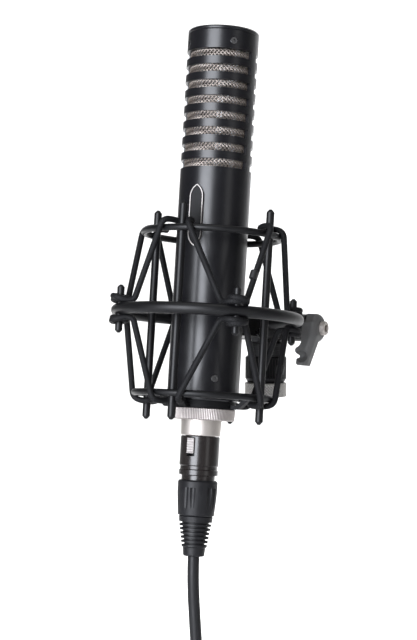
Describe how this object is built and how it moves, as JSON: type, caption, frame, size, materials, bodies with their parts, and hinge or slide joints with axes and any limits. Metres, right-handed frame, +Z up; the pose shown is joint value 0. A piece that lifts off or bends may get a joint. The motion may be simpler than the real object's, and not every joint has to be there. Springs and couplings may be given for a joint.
{
  "type": "studio microphone in a shock mount",
  "caption": "Slim black side-address studio microphone in an elastic shock mount, with its swivel, clamp lever and three-pin cable.",
  "frame": {"origin": "mouth of the stand's threaded socket, on its axis", "axes": "+Z up along the stand's axis; the microphone faces -Y; the tilt axis runs along X"},
  "size_m": [0.1323, 0.1355, 0.509],
  "materials": {
    "satin_black": "fine satin black",
    "ribbed_black": "ribbed matt black",
    "lever_grey": "satin grey-black",
    "nickel": "satin nickel",
    "dark_screw": "blackened steel",
    "screen_weave": "woven wire",
    "badge_black": "gloss",
    "elastic_braid": "fine braid",
    "crimp_black": "matt",
    "friction_fibre": "hard fibre",
    "magnet_plate": "plated",
    "soft_iron": "ground",
    "ribbon_foil": "bright foil",
    "coil_tape": "tape",
    "wire_red": "insulation",
    "gold_pins": "gold plate",
    "boot_rubber": "matt",
    "cable_jacket": "matt",
    "tie_band": "woven band"
  },
  "bodies": {
    "base": {"thread_adapter": "nickel", "ribbed_collar": "ribbed_black"},
    "swivel": {"swivel_post": "satin_black", "pan_clip": "dark_screw"},
    "ring_frame": {"friction_washers": "friction_fibre", "ring_bracket": "satin_black", "bracket_screws": "dark_screw", "pivot_bolt": "dark_screw", "pivot_nut": "dark_screw", "outer_ring": "satin_black", "ring_posts": "satin_black", "elastic_upper": "elastic_braid", "elastic_lower": "elastic_braid", "elastic_crimps": "crimp_black"},
    "lever": {"clamp_lever": "lever_grey", "lever_screw": "nickel"},
    "cradle": {"cradle_upper_ring": "satin_black", "cradle_lower_ring": "satin_black", "cradle_base": "satin_black", "rod_front": "satin_black", "rod_right": "satin_black", "rod_back": "satin_black", "rod_left": "satin_black"},
    "microphone": {"housing_tube": "satin_black", "top_cap": "satin_black", "cap_screws": "dark_screw", "base_plug": "satin_black", "base_screws": "dark_screw", "screen_mesh": "screen_weave", "badge_rim": "nickel", "badge_field": "badge_black", "neck_shell": "nickel", "outlet_insert": "friction_fibre", "outlet_pins": "gold_pins", "pole_pieces": "soft_iron", "magnets": "magnet_plate", "magnet_yoke": "soft_iron", "ribbon": "ribbon_foil", "ribbon_clamps": "friction_fibre", "motor_mounts": "friction_fibre", "motor_carrier": "soft_iron", "transformer_core": "soft_iron", "transformer_coil": "coil_tape", "transformer_cup": "soft_iron", "signal_wires": "wire_red"},
    "nut": {"ring_nut": "nickel"},
    "plug": {"plug_shell": "nickel", "latch_spring": "dark_screw", "plug_insert": "ribbed_black", "plug_contacts": "gold_pins", "plug_boot": "boot_rubber", "strain_relief": "boot_rubber", "cable": "cable_jacket", "cable_coil": "cable_jacket", "coil_tie": "tie_band", "far_boot": "boot_rubber", "far_shell": "nickel", "far_insert": "ribbed_black", "far_pins": "gold_pins"},
    "latch": {"latch_button": "nickel"}
  },
  "joints": [
    {"name": "pan", "type": "hinge", "parent": "base", "child": "swivel", "pos_m": [0, 0, 0.0216], "axis": [0, 0, 1], "continuous": true},
    {"name": "tilt", "type": "hinge", "parent": "swivel", "child": "ring_frame", "pos_m": [0, 0, 0.0396], "axis": [1, 0, 0], "range_deg": [-60, 12]},
    {"name": "lever_turn", "type": "hinge", "parent": "ring_frame", "child": "lever", "pos_m": [0.03, 0, 0.0396], "axis": [1, 0, 0], "range_deg": [-60, 60]},
    {"name": "suspension", "type": "slide", "parent": "ring_frame", "child": "cradle", "axis": [0, 0.1063, 0.9943], "range_m": [-0.004, 0.004], "stiffness_N_per_m": 4000, "springref_m": 0.0017, "deforming": ["elastic_upper", "elastic_lower", "elastic_crimps"]},
    {"name": "microphone_turn", "type": "hinge", "parent": "cradle", "child": "microphone", "pos_m": [0, -0.07758, 0.00062], "axis": [0, 0.1063, 0.9943], "continuous": true},
    {"name": "nut_turn", "type": "hinge", "parent": "microphone", "child": "nut", "pos_m": [0, -0.07811, -0.00435], "axis": [0, 0.1063, 0.9943], "continuous": true},
    {"name": "unplug", "type": "slide", "parent": "microphone", "child": "plug", "axis": [0, -0.1063, -0.9943], "range_m": [0, 0.016]},
    {"name": "latch_press", "type": "slide", "parent": "plug", "child": "latch", "axis": [0, 0.9943, -0.1063], "range_m": [0, 0.0012], "stiffness_N_per_m": 400}
  ]
}
